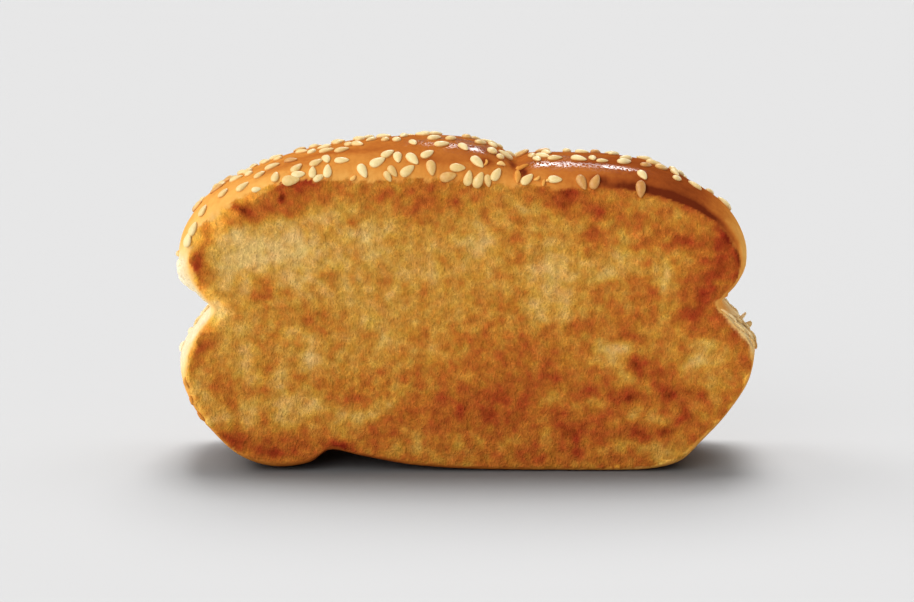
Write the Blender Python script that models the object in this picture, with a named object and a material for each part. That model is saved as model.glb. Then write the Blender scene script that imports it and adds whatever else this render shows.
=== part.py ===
"""A thick slice of sesame bread, toasted on its cut faces and standing on its lower edge.

The slice is one solid with its sesame seeds fused on. The cut faces look towards -Y and +Y,
the seeded crown is at the top, and the underside rests on the plane z = 0. Its outline is
pinched at the waist on both sides, and the crust swells out between the two cut faces.
Shapes are worked out in millimetres and turned into metres when the mesh is placed.
"""

import math
import random

import bmesh
import bpy
from mathutils import Vector

# Driving dimensions, in millimetres.
THICKNESS = 32.0        # from one cut face to the other
SEED_LENGTH = 3.4
SEED_WIDTH = 2.05
SEED_THICKNESS = 1.2
SEED_RISE = 0.15        # how far a seed's middle stands above the crust's skin
WAVE_HEIGHT = 0.45      # slow rise and fall of each cut face

# The outline, clockwise from the left waist as seen from the front. Each row holds x and z
# on the edge of a cut face, then x and z on the crust halfway through the slice.
OUTLINE = (
    (-54.0, 35.9, -56.2, 35.2),    # left waist
    (-56.5, 38.9, -58.4, 37.8),
    (-58.6, 42.3, -61.9, 40.8),
    (-59.5, 46.4, -63.1, 44.8),
    (-59.2, 50.4, -62.6, 49.4),
    (-56.9, 53.9, -60.5, 54.2),
    (-52.2, 57.6, -56.0, 59.3),
    (-45.5, 61.3, -48.8, 63.3),
    (-37.5, 63.4, -39.3, 67.2),
    (-27.5, 63.7, -28.3, 69.7),
    (-17.0, 63.7, -17.2, 71.1),
    (-7.0, 64.0, -6.5, 71.5),      # top of the left swell
    (1.5, 63.2, 2.4, 70.4),
    (7.5, 62.8, 7.4, 68.4),
    (11.0, 62.5, 10.4, 66.4),      # crease between the two swells
    (15.0, 62.2, 13.4, 67.5),
    (23.5, 61.8, 23.0, 67.6),
    (32.5, 61.7, 33.0, 66.9),
    (40.5, 60.1, 42.2, 65.0),
    (47.5, 57.8, 49.8, 60.9),
    (53.6, 54.1, 56.6, 56.3),
    (57.4, 49.5, 60.2, 50.6),
    (58.3, 45.1, 60.7, 45.4),
    (56.7, 41.1, 58.7, 41.0),
    (54.5, 38.7, 56.4, 38.1),
    (52.9, 37.1, 55.2, 35.8),      # right waist
    (55.2, 34.3, 58.2, 33.2),
    (58.2, 31.1, 61.4, 30.2),
    (60.6, 27.7, 62.9, 27.2),
    (61.1, 23.3, 62.0, 22.5),
    (59.4, 18.7, 60.4, 17.7),
    (55.4, 12.7, 56.3, 11.5),
    (50.3, 7.0, 51.0, 5.7),
    (45.3, 2.8, 45.7, 0.7),
    (37.0, 1.0, 36.5, -0.6),       # flat of the underside
    (20.0, 0.8, 20.0, -0.6),
    (3.0, 1.1, 3.0, -0.5),
    (-11.0, 2.0, -11.0, 0.3),
    (-22.0, 3.9, -22.0, 2.3),
    (-29.0, 5.3, -29.2, 4.1),      # step up beside the left foot
    (-31.6, 4.4, -31.8, 2.9),
    (-34.6, 2.8, -34.8, 0.6),
    (-42.0, 2.2, -42.4, -0.3),     # left foot
    (-49.2, 4.1, -49.4, 2.2),
    (-55.0, 9.2, -55.3, 7.6),
    (-59.0, 14.8, -59.6, 13.4),
    (-60.8, 20.6, -62.3, 19.2),
    (-59.9, 25.9, -63.0, 24.9),
    (-58.1, 30.1, -60.4, 29.4),
    (-55.9, 33.1, -57.8, 32.5),
)
MIDDLE_X = 0.0          # the cut faces' rings close in on this point
MIDDLE_Z = 34.0
SHOULDER_POWER = 2.3    # 2 would round the crust as an ellipse from face to face, more is squarer

# How finely the body is meshed.
COLUMNS_PER_ROW = 2
FACE_RINGS = (0.45, 0.86)   # share of the way from the middle to the edge
CRUST_STEPS = 10            # steps from the front cut edge to the back one

# Seeds that stand out on the front of the crown. Each holds the outline row that it lies
# at, its place in degrees round the crust from the front cut edge, its spin in degrees
# from the way that the outline runs, and its size against the usual one.
FRONT_SEEDS = (
    (4.2, 12, 10, 1.0), (4.8, 15, 20, 1.0), (5.6, 34, 50, 1.0), (6.4, 42, 55, 1.0),
    (6.9, 30, 30, 1.0), (7.1, 4, -10, 0.6), (7.4, 46, 45, 0.95), (7.7, 59, 10, 1.05),
    (7.7, 22, 75, 0.9), (8.0, 4, 0, 1.15), (8.2, 32, 50, 1.0), (8.2, 15, 0, 0.9),
    (8.1, 60, -25, 0.95), (8.5, 17, 85, 0.85), (8.6, 5, 25, 0.75), (8.6, 38, 35, 1.0),
    (8.8, 43, -80, 0.95), (8.8, 17, 85, 0.95), (8.8, 68, 15, 1.0), (9.1, 62, 20, 1.0),
    (9.1, 36, -5, 0.95), (9.4, 74, -50, 1.05), (9.5, 14, -65, 1.0), (9.8, 28, 30, 1.1),
    (10.0, 42, 40, 1.0), (10.0, 5, -60, 0.75), (10.1, 12, -55, 0.85), (10.2, 34, -85, 0.95),
    (10.4, 12, 35, 1.05), (10.5, 30, -55, 1.1), (10.5, 64, -70, 0.85), (10.8, 38, 40, 1.0),
    (10.9, 15, -80, 1.05), (11.1, 60, 25, 1.05), (11.3, 80, 60, 1.0), (11.3, 4, 20, 1.1),
    (11.5, 18, 5, 1.0), (11.6, 58, -60, 1.0), (11.8, 5, 85, 1.0), (12.0, 32, -45, 1.1),
    (12.1, 4, 70, 1.1), (12.4, 4, -75, 0.8), (12.5, 67, 85, 1.15), (12.7, 16, 70, 1.0),
    (12.9, 60, 85, 0.9), (14.6, 16, 40, 1.0), (15.2, 66, -70, 0.85), (15.5, 16, 0, 0.9),
    (15.6, 68, 20, 1.0), (16.1, 68, -30, 1.1), (16.1, 12, -65, 1.05), (16.4, 71, -85, 0.85),
    (16.4, 13, 65, 1.05), (16.6, 64, 15, 0.8), (17.1, 70, 45, 1.15), (17.5, 38, -65, 1.0),
    (17.5, 7, -80, 1.1), (17.6, 70, 45, 0.95), (18.0, 78, 50, 1.15), (18.4, 62, 65, 0.95),
    (6.1, 102, 90, 1.0), (6.5, 107, -85, 1.0), (6.8, 116, -75, 1.0), (7.4, 112, -80, 1.05),
    (8.3, 86, -40, 1.0),
)
SEED_COUNT = 184
SEED_ROWS = (4.4, 20.6)             # outline rows between which the crown carries seeds
SEED_TURNS = (72.0, 168.0)          # degrees round the crust where the rest are scattered
SEED_GAP = 3.2                      # usual distance between two seeds' middles
SEED_OVERLAP_SHARE = 0.14           # share of the seeds that may lie closer than that
SEED_OVERLAP_GAP = 1.9
SEED_SIZE_SPREAD = 0.12
SEED_TIP_TAPER = 0.32               # how much narrower a seed is at its tip
SEED_SIDES = 6
SEED_BANDS = 3
RANDOM_SEED = 7

BREAD_COLOR = (0.60, 0.30, 0.08, 1.0)
BREAD_ROUGHNESS = 0.75

MM = 0.001


def clear_scene():
    """Empty the file of the objects that Blender starts with."""
    for item in list(bpy.data.objects):
        bpy.data.objects.remove(item, do_unlink=True)


def collection(name):
    """Make a collection and link it to the scene."""
    made = bpy.data.collections.new(name)
    bpy.context.scene.collection.children.link(made)
    return made


def bread_material():
    """Toasted bread: brown, rough and not metallic."""
    material = bpy.data.materials.new("toasted_bread")
    material.use_nodes = True
    shader = material.node_tree.nodes["Principled BSDF"]
    shader.inputs["Base Color"].default_value = BREAD_COLOR
    shader.inputs["Roughness"].default_value = BREAD_ROUGHNESS
    shader.inputs["Metallic"].default_value = 0.0
    return material


def outline_at(row):
    """Read the closed outline at a row number, whole or not, as a smooth curve."""
    first = math.floor(row)
    t = row - first
    p0, p1, p2, p3 = (OUTLINE[(first + k) % len(OUTLINE)] for k in (-1, 0, 1, 2))
    return [
        0.5 * (2 * b + (c - a) * t + (2 * a - 5 * b + 4 * c - d) * t * t
               + (3 * b - a - 3 * c + d) * t ** 3)
        for a, b, c, d in zip(p0, p1, p2, p3)
    ]


def crust_point(row, turn):
    """Place a point on the crust, turn degrees round from the front cut edge to the back."""
    face_x, face_z, mid_x, mid_z = outline_at(row)
    sine = math.sin(math.radians(turn))
    cosine = math.cos(math.radians(turn))
    swell = abs(sine) ** (2 / SHOULDER_POWER)
    depth = math.copysign(abs(cosine) ** (2 / SHOULDER_POWER), cosine)
    x = face_x + (mid_x - face_x) * swell
    z = face_z + (mid_z - face_z) * swell
    return Vector((x, -depth * THICKNESS / 2, max(z, 0.0)))


def face_wave(x, z, side):
    """How far the cut face stands proud here: slow waves, unlike on the two sides."""
    phase = 1.3 * side
    wave = math.sin(x / 13.0 + phase) * math.cos(z / 9.0 - phase)
    wave += 0.5 * math.sin(x / 7.0 - z / 11.0 + 2 * phase)
    return WAVE_HEIGHT * wave / 1.5


def face_point(row, reach, side):
    """Place a point on a cut face: side is -1 at the front, reach is 1 on the edge."""
    edge_x, edge_z = outline_at(row)[:2]
    x = MIDDLE_X + (edge_x - MIDDLE_X) * reach
    z = MIDDLE_Z + (edge_z - MIDDLE_Z) * reach
    fade = 1.0 - reach ** 4
    y = side * (THICKNESS / 2 + face_wave(x, z, side) * fade)
    return Vector((x, y, z))


def body_point(row, ring):
    """Place the body's vertex of one ring, counted from the front face's middle."""
    back_start = len(FACE_RINGS) + CRUST_STEPS + 2
    if ring <= len(FACE_RINGS):
        reach = ((0.0,) + FACE_RINGS)[ring]
        return face_point(row, reach, -1)
    if ring >= back_start:
        reach = (FACE_RINGS[::-1] + (0.0,))[ring - back_start]
        return face_point(row, reach, 1)
    step = ring - len(FACE_RINGS) - 1
    return crust_point(row, 180.0 * step / CRUST_STEPS)


def bread_body(name, holder):
    """Make the bread from a sphere whose every vertex is carried to its place."""
    columns = COLUMNS_PER_ROW * len(OUTLINE)
    bands = 2 * len(FACE_RINGS) + CRUST_STEPS + 2
    mesh = bpy.data.meshes.new(name)
    body = bmesh.new()
    bmesh.ops.create_uvsphere(body, u_segments=columns, v_segments=bands, radius=1.0)
    for vertex in body.verts:
        around = math.atan2(vertex.co.y, vertex.co.x) / math.tau
        column = round(around * columns) % columns
        down = math.acos(max(-1.0, min(1.0, vertex.co.z))) / math.pi
        vertex.co = body_point(column / COLUMNS_PER_ROW, round(down * bands)) * MM
    bmesh.ops.triangulate(body, faces=body.faces[:])
    bmesh.ops.recalc_face_normals(body, faces=body.faces[:])
    body.to_mesh(mesh)
    body.free()
    made = bpy.data.objects.new(name, mesh)
    holder.objects.link(made)
    return made


def crust_frame(row, turn, spin):
    """Give the directions of a seed's length, width and thickness where it lies."""
    step = 0.05
    along = crust_point(row + step, turn) - crust_point(row - step, turn)
    across = crust_point(row, turn + 1) - crust_point(row, turn - 1)
    outward = along.cross(across).normalized()
    along = along.normalized()
    backward = outward.cross(along)
    angle = math.radians(spin)
    length_way = along * math.cos(angle) + backward * math.sin(angle)
    return length_way, outward.cross(length_way), outward


def scattered_seeds():
    """List every seed as row, degrees round the crust, spin and size, by a seeded rule."""
    draw = random.Random(RANDOM_SEED)
    seeds = []
    places = []
    for row, turn, spin, size in FRONT_SEEDS:
        seeds.append((row, turn, spin, size))
        places.append(crust_point(row, turn))
    first_row, last_row = SEED_ROWS
    first_turn, last_turn = SEED_TURNS
    while len(seeds) < SEED_COUNT:
        row = draw.uniform(first_row, last_row)
        turn = draw.uniform(first_turn, last_turn)
        spin = draw.uniform(0, 360)
        size = 1.0 + SEED_SIZE_SPREAD * draw.uniform(-1, 1)
        stray = draw.random()
        inward = min(row - first_row, last_row - row) / 4.0
        if draw.random() > 0.25 + 0.75 * min(inward, 1.0):
            continue
        gap = SEED_OVERLAP_GAP if stray < SEED_OVERLAP_SHARE else SEED_GAP
        place = crust_point(row, turn)
        if min((place - other).length for other in places) < gap:
            continue
        seeds.append((row, turn, spin, size))
        places.append(place)
    return seeds


def sesame_seed(name, row, turn, spin, size, holder):
    """Make one seed, a flattened drop with a blunt end and a narrower tip."""
    length_way, width_way, outward = crust_frame(row, turn, spin)
    middle = crust_point(row, turn) + outward * SEED_RISE
    mesh = bpy.data.meshes.new(name)
    seed = bmesh.new()
    bmesh.ops.create_uvsphere(seed, u_segments=SEED_SIDES, v_segments=SEED_BANDS, radius=1.0)
    for vertex in seed.verts:
        along = vertex.co.z
        girth = 1.0 - SEED_TIP_TAPER * along
        place = middle + length_way * (along * SEED_LENGTH * size / 2)
        place += width_way * (vertex.co.x * girth * SEED_WIDTH * size / 2)
        place += outward * (vertex.co.y * girth * SEED_THICKNESS * size / 2)
        vertex.co = place * MM
    bmesh.ops.recalc_face_normals(seed, faces=seed.faces[:])
    seed.to_mesh(mesh)
    seed.free()
    holder.objects.link(bpy.data.objects.new(name, mesh))


def fuse(body, holder):
    """Join every object of a collection to the body, then remove the collection."""
    union = body.modifiers.new("seeds", "BOOLEAN")
    union.operation = "UNION"
    union.operand_type = "COLLECTION"
    union.collection = holder
    union.solver = "EXACT"
    depsgraph = bpy.context.evaluated_depsgraph_get()
    fused = bpy.data.meshes.new_from_object(body.evaluated_get(depsgraph))
    body.modifiers.clear()
    body.data = fused
    for item in list(holder.objects):
        bpy.data.objects.remove(item, do_unlink=True)
    bpy.data.collections.remove(holder)


def centre_over_base(body):
    """Move the mesh so that its box is centred on the origin, and it stands on z = 0."""
    corners = [[vertex.co[axis] for vertex in body.data.vertices] for axis in range(3)]
    shift = Vector((
        -(min(corners[0]) + max(corners[0])) / 2,
        -(min(corners[1]) + max(corners[1])) / 2,
        -min(corners[2]),
    ))
    for vertex in body.data.vertices:
        vertex.co += shift


def main():
    clear_scene()
    parts = collection("texas_toast_slice")
    cutters = collection("seeds_to_fuse")
    toast = bread_body("toast", parts)
    for number, placed in enumerate(scattered_seeds()):
        sesame_seed(f"seed_{number}", *placed, cutters)
    fuse(toast, cutters)
    centre_over_base(toast)
    toast.data.materials.clear()
    toast.data.materials.append(bread_material())
    toast.data.shade_smooth()
    toast.data.set_sharp_from_angle(angle=math.radians(35))


main()
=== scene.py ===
"""Looks of a thick slice of toasted sesame bread that stands on its lower edge.

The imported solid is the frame. The slice that shows is a finer mesh over the same form, with
its crumb, its browning, its crust line and its torn edges, and the seeds lie where the
solid has them. Lengths are in millimetres, and turn into metres when a mesh is placed.
"""

import itertools
import math
import random

import bmesh
import bpy
import numpy as np
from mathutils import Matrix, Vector, kdtree


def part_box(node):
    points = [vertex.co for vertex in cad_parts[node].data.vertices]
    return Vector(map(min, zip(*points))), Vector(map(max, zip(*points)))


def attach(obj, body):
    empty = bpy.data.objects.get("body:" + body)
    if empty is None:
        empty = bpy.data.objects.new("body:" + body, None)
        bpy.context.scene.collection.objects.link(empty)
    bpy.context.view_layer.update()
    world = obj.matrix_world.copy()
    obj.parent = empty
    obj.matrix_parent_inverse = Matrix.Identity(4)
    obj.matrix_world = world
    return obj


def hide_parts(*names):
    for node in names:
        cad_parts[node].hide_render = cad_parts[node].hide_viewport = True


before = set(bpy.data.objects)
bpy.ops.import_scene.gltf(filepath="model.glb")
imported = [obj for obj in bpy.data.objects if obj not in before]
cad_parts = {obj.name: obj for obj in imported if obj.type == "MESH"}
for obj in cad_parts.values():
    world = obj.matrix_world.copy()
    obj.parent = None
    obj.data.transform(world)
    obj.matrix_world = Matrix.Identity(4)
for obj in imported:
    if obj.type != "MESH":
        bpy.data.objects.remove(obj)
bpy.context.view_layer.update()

MM = 0.001

# ---------------------------- the form
THICKNESS = 32.0        # from one cut face to the other
WAVE_HEIGHT = 0.45      # slow rise and fall of each cut face

# The outline, clockwise from the left waist as seen from the front. Each row holds x and z
# on the edge of a cut face, then x and z on the crust halfway through the slice.
OUTLINE = (
    (-54.0, 35.9, -56.2, 35.2),    # left waist
    (-56.5, 38.9, -58.4, 37.8),
    (-58.6, 42.3, -61.9, 40.8),
    (-59.5, 46.4, -63.1, 44.8),
    (-59.2, 50.4, -62.6, 49.4),
    (-56.9, 53.9, -60.5, 54.2),
    (-52.2, 57.6, -56.0, 59.3),
    (-45.5, 61.3, -48.8, 63.3),
    (-37.5, 63.4, -39.3, 67.2),
    (-27.5, 63.7, -28.3, 69.7),
    (-17.0, 63.7, -17.2, 71.1),
    (-7.0, 64.0, -6.5, 71.5),      # top of the left swell
    (1.5, 63.2, 2.4, 70.4),
    (7.5, 62.8, 7.4, 68.4),
    (11.0, 62.5, 10.4, 66.4),      # crease between the two swells
    (15.0, 62.2, 13.4, 67.5),
    (23.5, 61.8, 23.0, 67.6),
    (32.5, 61.7, 33.0, 66.9),
    (40.5, 60.1, 42.2, 65.0),
    (47.5, 57.8, 49.8, 60.9),
    (53.6, 54.1, 56.6, 56.3),
    (57.4, 49.5, 60.2, 50.6),
    (58.3, 45.1, 60.7, 45.4),
    (56.7, 41.1, 58.7, 41.0),
    (54.5, 38.7, 56.4, 38.1),
    (52.9, 37.1, 55.2, 35.8),      # right waist
    (55.2, 34.3, 58.2, 33.2),
    (58.2, 31.1, 61.4, 30.2),
    (60.6, 27.7, 62.9, 27.2),
    (61.1, 23.3, 62.0, 22.5),
    (59.4, 18.7, 60.4, 17.7),
    (55.4, 12.7, 56.3, 11.5),
    (50.3, 7.0, 51.0, 5.7),
    (45.3, 2.8, 45.7, 0.7),
    (37.0, 1.0, 36.5, -0.6),       # flat of the underside
    (20.0, 0.8, 20.0, -0.6),
    (3.0, 1.1, 3.0, -0.5),
    (-11.0, 2.0, -11.0, 0.3),
    (-22.0, 3.9, -22.0, 2.3),
    (-29.0, 5.3, -29.2, 4.1),      # step up beside the left foot
    (-31.6, 4.4, -31.8, 2.9),
    (-34.6, 2.8, -34.8, 0.6),
    (-42.0, 2.2, -42.4, -0.3),     # left foot
    (-49.2, 4.1, -49.4, 2.2),
    (-55.0, 9.2, -55.3, 7.6),
    (-59.0, 14.8, -59.6, 13.4),
    (-60.8, 20.6, -62.3, 19.2),
    (-59.9, 25.9, -63.0, 24.9),
    (-58.1, 30.1, -60.4, 29.4),
    (-55.9, 33.1, -57.8, 32.5),
)
MIDDLE_X = 0.0          # the cut faces' rings close in on this point
MIDDLE_Z = 34.0
SHOULDER_POWER = 2.3    # 2 would round the crust as an ellipse from face to face, more is squarer

FORM_COLUMNS_PER_ROW = 6
FORM_FACE_RINGS = 9
FORM_CRUST_STEPS = 30
CRUMB_VOXEL = 0.55      # edge of the even mesh that carries the relief
RELAX_STEPS = 4

# ---------------------------- the seeds
SEED_LENGTH = 3.4
SEED_WIDTH = 1.92
SEED_THICKNESS = 1.2
SEED_RISE = 0.15        # how far a seed's middle stands above the crust's skin
# Seeds that stand out on the front of the crown. Each holds the outline row that it lies
# at, its place in degrees round the crust from the front cut edge, its spin in degrees
# from the way that the outline runs, its size against the usual one, and how toasted it is.
FRONT_SEEDS = (
    (4.2, 12, 10, 1.0, 0.0), (4.8, 15, 20, 1.0, 0.1), (5.6, 34, 50, 1.0, 0.2),
    (6.4, 42, 55, 1.0, 0.3), (6.9, 30, 30, 1.0, 0.2), (7.1, 4, -10, 0.6, 0.0),
    (7.4, 46, 45, 0.95, 0.3), (7.7, 59, 10, 1.05, 0.2), (7.7, 22, 75, 0.9, 0.2),
    (8.0, 4, 0, 1.15, 0.3), (8.2, 32, 50, 1.0, 0.3), (8.2, 15, 0, 0.9, 0.0),
    (8.1, 60, -25, 0.95, 0.7), (8.5, 17, 85, 0.85, 0.1), (8.6, 5, 25, 0.75, 0.1),
    (8.6, 38, 35, 1.0, 0.3), (8.8, 43, -80, 0.95, 0.1), (8.8, 17, 85, 0.95, 0.0),
    (8.8, 68, 15, 1.0, 0.2), (9.1, 62, 20, 1.0, 0.3), (9.1, 36, -5, 0.95, 0.1),
    (9.4, 74, -50, 1.05, 0.2), (9.5, 14, -65, 1.0, 0.0), (9.8, 28, 30, 1.1, 0.0),
    (10.0, 42, 40, 1.0, 0.1), (10.0, 5, -60, 0.75, 0.3), (10.1, 12, -55, 0.85, 0.4),
    (10.2, 34, -85, 0.95, 0.1), (10.4, 12, 35, 1.05, 0.2), (10.5, 30, -55, 1.1, 0.1),
    (10.5, 64, -70, 0.85, 0.1), (10.8, 38, 40, 1.0, 0.1), (10.9, 15, -80, 1.05, 0.45),
    (11.1, 60, 25, 1.05, 0.1), (11.3, 80, 60, 1.0, 0.3), (11.3, 4, 20, 1.1, 0.55),
    (11.5, 18, 5, 1.0, 0.3), (11.6, 58, -60, 1.0, 0.1), (11.8, 5, 85, 1.0, 0.3),
    (12.0, 32, -45, 1.1, 0.1), (12.1, 4, 70, 1.1, 0.3), (12.4, 4, -75, 0.8, 0.4),
    (12.5, 67, 85, 1.15, 0.1), (12.7, 16, 70, 1.0, 0.2), (12.9, 60, 85, 0.9, 0.2),
    (14.6, 16, 40, 1.0, 0.2), (15.2, 66, -70, 0.85, 0.0), (15.5, 16, 0, 0.9, 0.1),
    (15.6, 68, 20, 1.0, 0.2), (16.1, 68, -30, 1.1, 0.0), (16.1, 12, -65, 1.05, 0.75),
    (16.4, 71, -85, 0.85, 0.1), (16.4, 13, 65, 1.05, 0.75), (16.6, 64, 15, 0.8, 0.2),
    (17.1, 70, 45, 1.15, 0.0), (17.5, 38, -65, 1.0, 0.1), (17.5, 7, -80, 1.1, 0.85),
    (17.6, 70, 45, 0.95, 0.7), (18.0, 78, 50, 1.15, 0.4), (18.4, 62, 65, 0.95, 0.1),
    (6.1, 102, 90, 1.0, 0.3), (6.5, 107, -85, 1.0, 0.3), (6.8, 116, -75, 1.0, 0.1),
    (7.4, 112, -80, 1.05, 0.1), (8.3, 86, -40, 1.0, 0.2),
)
SEED_COUNT = 184        # those and the ones that a seeded rule scatters behind them
SEED_ROWS = (4.4, 20.6)
SEED_TURNS = (72.0, 168.0)
SEED_GAP = 3.2          # least distance between the middles of two seeds
SEED_OVERLAP_SHARE = 0.14
SEED_OVERLAP_GAP = 1.9  # the same for the share of seeds that lie against others
SEED_EDGE_ROWS = 4.0    # rows over which the scattered seeds thin out at both ends
SEED_EDGE_SHARE = 0.25  # share of them that is left there
SEED_SIZE_SPREAD = 0.12
SEED_TIP_TAPER = 0.32
SEED_SIDES = 16
SEED_BANDS = 12
RANDOM_SEED = 7

# Shreds and crumbs that stick out where the crust tore: outline row, degrees round the crust
# from the front cut edge, spin, length, width, thickness, rise above the skin, and baking.
SHREDS = (
    (13.97, 27, 92, 4.6, 1.4, 1.2, 0.20, 0.46), (14.42, 48, 8, 3.6, 1.2, 1.0, 0.20, 0.52),
    (14.12, 49, 60, 1.6, 1.2, 1.0, 0.15, 0.48), (15.05, 16, 35, 1.6, 0.7, 0.6, 0.25, 0.34),
    (15.2, 9, 80, 1.5, 0.7, 0.6, 0.25, 0.42), (15.35, 14, 10, 1.4, 0.6, 0.6, 0.25, 0.28),
    (12.3, 34, 85, 2.2, 0.6, 0.6, 0.2, 0.40), (12.9, 40, 20, 2.0, 1.1, 0.8, 0.3, 0.22),
    (9.3, 3, 40, 1.6, 0.9, 0.7, 0.2, 0.30), (8.1, 2, 15, 1.8, 1.0, 0.7, 0.2, 0.36),
    (3.4, 62, 80, 1.9, 1.2, 0.9, 0.10, 0.24), (2.7, 50, 15, 4.6, 2.4, 1.4, 0.0, 0.04),
    (2.1, 60, 5, 4.0, 2.2, 1.5, 0.05, 0.02), (1.5, 66, 10, 3.4, 1.8, 1.3, 0.1, 0.04),
    (1.0, 70, 5, 2.8, 1.4, 1.2, 0.2, 0.06), (24.1, 60, 40, 1.6, 0.9, 0.7, 0.3, 0.40),
    (23.6, 74, 60, 1.4, 0.9, 0.7, 0.3, 0.36), (25.6, 24, 12, 2.6, 0.7, 0.6, 0.2, 0.26),
    (26.0, 30, 8, 3.4, 0.7, 0.6, 0.3, 0.22), (26.3, 48, 12, 3.0, 0.8, 0.7, 0.3, 0.28),
    (26.45, 70, 0, 0.8, 0.8, 2.8, 0.7, 0.24), (26.7, 20, 10, 3.6, 0.7, 0.6, 0.3, 0.30),
    (26.8, 60, 4, 3.0, 0.8, 0.7, 0.3, 0.24), (26.95, 74, 30, 1.5, 1.2, 2.0, 0.35, 0.34),
    (27.2, 36, 12, 3.2, 0.7, 0.6, 0.3, 0.24), (27.5, 56, 6, 3.0, 0.8, 0.7, 0.3, 0.34),
    (27.7, 24, 8, 2.8, 0.6, 0.6, 0.3, 0.40), (28.0, 44, 10, 2.4, 0.7, 0.6, 0.25, 0.44),
    (45.9, 8, 5, 2.8, 0.9, 0.8, 0.0, 0.44), (45.2, 6, -8, 2.4, 0.9, 0.8, 0.0, 0.50),
    (44.6, 8, 10, 2.8, 0.8, 0.8, 0.05, 0.55), (47.2, 70, 20, 2.6, 1.2, 0.9, 0.1, 0.06),
)
BACK_SHREDS = 26        # shreds that a seeded rule puts on the torn crust of the back
SHRED_SIDES = 12
SHRED_BANDS = 10

# ---------------------------- the browning
# Marks on the front cut face, as seen: x and z of the middle, half width and half height,
# and strength. Where the slice pressed on the hot plate it browned, and its hollows stayed pale.
BROWN_MARKS = (
    (20, 15, 26, 11, 0.20), (3, 17, 13, 10, 0.10), (43.5, 16, 10, 8.5, 0.10),
    (-27, 60.5, 13, 1.5, 0.12), (-9, 59.5, 7, 2.5, 0.14), (-36, 63, 5, 1.5, 0.28),
    (-48.5, 57.3, 1.8, 0.9, 0.50), (-39.2, 60, 0.9, 0.9, 0.50), (20.5, 60, 4, 2.2, 0.46),
    (32, 57.5, 5.5, 2, 0.14), (44.5, 53.5, 7.5, 2.5, 0.16), (40.5, 50, 5, 1.5, 0.22),
    (49, 50.5, 5, 1.5, 0.25), (55.5, 50, 3.5, 6.5, 0.28), (52, 43, 3.5, 5, 0.38),
    (48.5, 35.5, 3, 3.5, 0.28), (55, 28, 6, 5, 0.28), (51.5, 30.5, 3.5, 1.6, 0.14),
    (41.5, 22.5, 4.5, 2, 0.20), (33.5, 30.5, 4, 1.5, 0.25), (36, 23.5, 2, 1.5, 0.35),
    (23.5, 32, 2, 1.5, 0.35), (26.5, 52.5, 2, 5, 0.14), (-43.8, 41, 2.2, 3.2, 0.36),
    (-34.5, 34.5, 5, 3, 0.22), (-31, 43, 2, 2, 0.28), (-9.5, 40, 1.5, 2, 0.22),
    (-15.5, 51, 2, 1.5, 0.22), (-29.5, 52.5, 2, 1.5, 0.20), (-57.3, 45, 1.5, 4, 0.42),
    (-57, 26, 2.5, 5, 0.25), (-52, 18.5, 2, 4.5, 0.24), (-49.5, 15.5, 2.5, 1.5, 0.20),
    (-51.5, 8, 3, 1.5, 0.20), (-39, 6, 12, 3, 0.22), (-44, 11.5, 2, 2.5, 0.20),
    (-29.5, 18.5, 2.5, 1.5, 0.20), (-27.5, 14.5, 2, 1.5, 0.25), (-23.5, 15.5, 1.5, 1.5, 0.22),
    (-13.5, 13.5, 3, 2, 0.20), (-5, 11, 2, 1.5, 0.22), (-17.5, 8.5, 3.5, 1.5, 0.25),
    (-1.5, 13.5, 1.5, 1.5, 0.20), (4, 12.5, 2, 2, 0.14), (11, 14, 3, 3.5, 0.10),
    (7.5, 16.5, 2, 1.5, 0.10), (20, 13.5, 1.5, 1, 0.25), (23, 9, 2, 1.5, 0.25),
    (28, 8, 1.5, 2, 0.20), (37, 9, 2, 2, 0.30), (43, 9, 1.5, 1.5, 0.35), (42.5, 18, 1.5, 3, 0.30),
    (47.5, 18, 2.5, 1.5, 0.28), (46.5, 12, 1.5, 2, 0.25), (35.5, 16.5, 2, 1, 0.25),
    (20, 5, 8.5, 1.5, 0.08), (-42, 56.5, 8, 2.4, 0.24), (49.5, 38, 4.5, 5, 0.12),
    (0, 6, 10, 3, 0.13), (-50.5, 55.3, 1.6, 1.4, 0.16), (-34.5, 63, 2.5, 1.3, 0.24),
    (-55, 50, 2.5, 4.5, 0.20), (-52.3, 54, 3.5, 2.5, 0.11), (-24.7, 55, 1, 1, 0.25),
    (26, 57.5, 5, 1.5, 0.06), (-44, 5.5, 4, 2.5, 0.12), (-51, 7.5, 1.6, 1.3, 0.28),
    (-54, 19, 1.3, 2.2, 0.20), (-27.5, 6, 3, 1.2, 0.28), (16, 4, 3, 1.3, 0.20),
    (23, 5, 2, 1.2, 0.12), (-38, 59.5, 4, 1.8, 0.10), (0, 58, 6, 2.5, 0.10), (11, 50, 5, 4, 0.09),
    (32, 37, 5, 4, 0.10), (37, 38, 5, 4, 0.08), (-54.5, 30, 3, 3, 0.14), (10.5, 30, 5, 4, 0.09),
    (-43.5, 24, 4, 4, 0.10), (-22, 17, 4, 4, 0.09), (32, 5, 6, 2.5, 0.14), (21, 17, 4, 4, 0.09),
    (32, 17.5, 4, 4, 0.12),
)
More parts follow.
